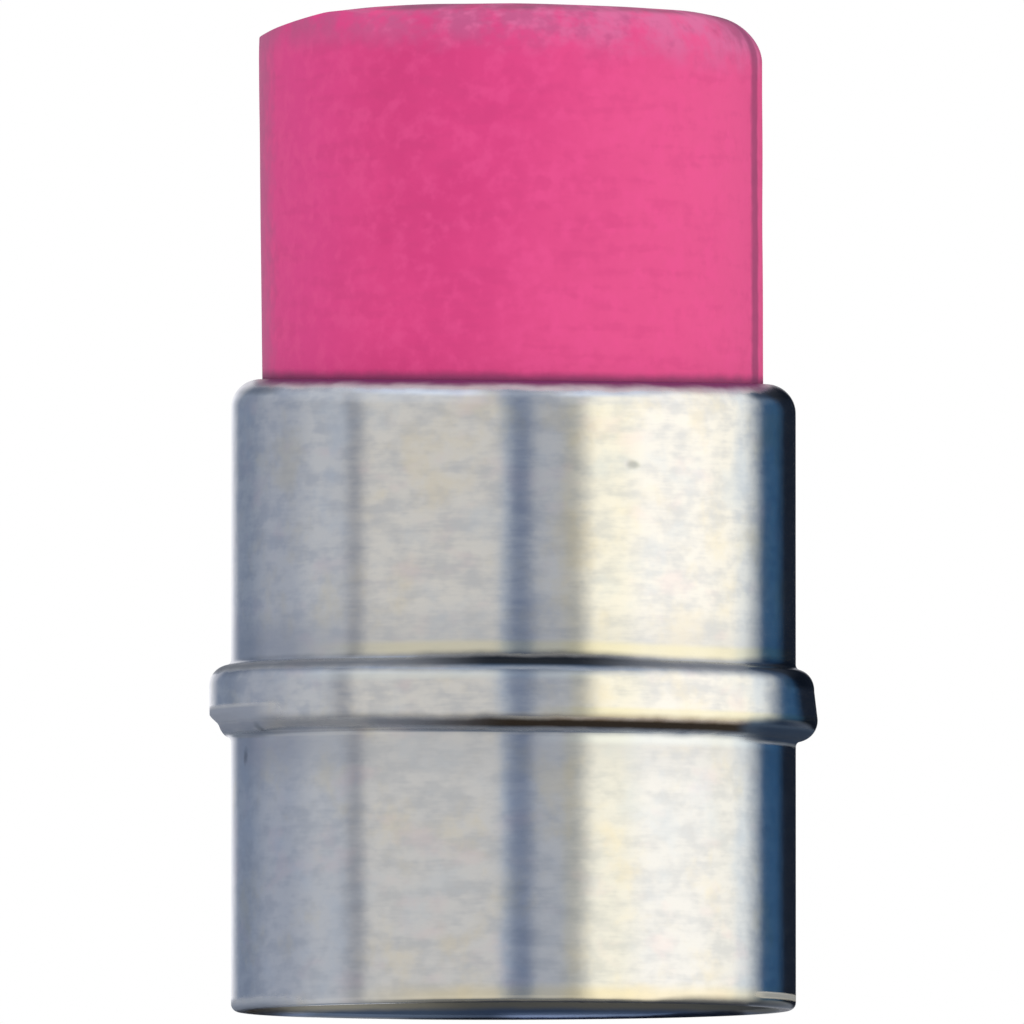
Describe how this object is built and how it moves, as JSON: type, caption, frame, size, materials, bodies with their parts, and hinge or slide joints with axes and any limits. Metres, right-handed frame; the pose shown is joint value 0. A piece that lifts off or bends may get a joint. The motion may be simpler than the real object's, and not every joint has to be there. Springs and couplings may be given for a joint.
{
  "type": "rubber eraser",
  "caption": "Pink rubber plug gripped in a thin aluminium ferrule with a rolled bead, open at its lower end to fit over the end of a pencil.",
  "frame": {"origin": "centre of the ferrule's open end, on the surface that the part stands on", "axes": "+Z along the axis from the open end to the top of the rubber, -Z out of the pencil socket, -X towards the worn shoulder of the rubber"},
  "size_m": [0.008, 0.008, 0.0133],
  "materials": {
    "ferrule_metal": "bright drawn sheet, lightly scratched and tarnished",
    "pink_rubber": "matt pink eraser rubber, worn and dusky at the top edge"
  },
  "bodies": {
    "root": {"ferrule": "ferrule_metal", "rubber_plug": "pink_rubber"}
  },
  "joints": []
}
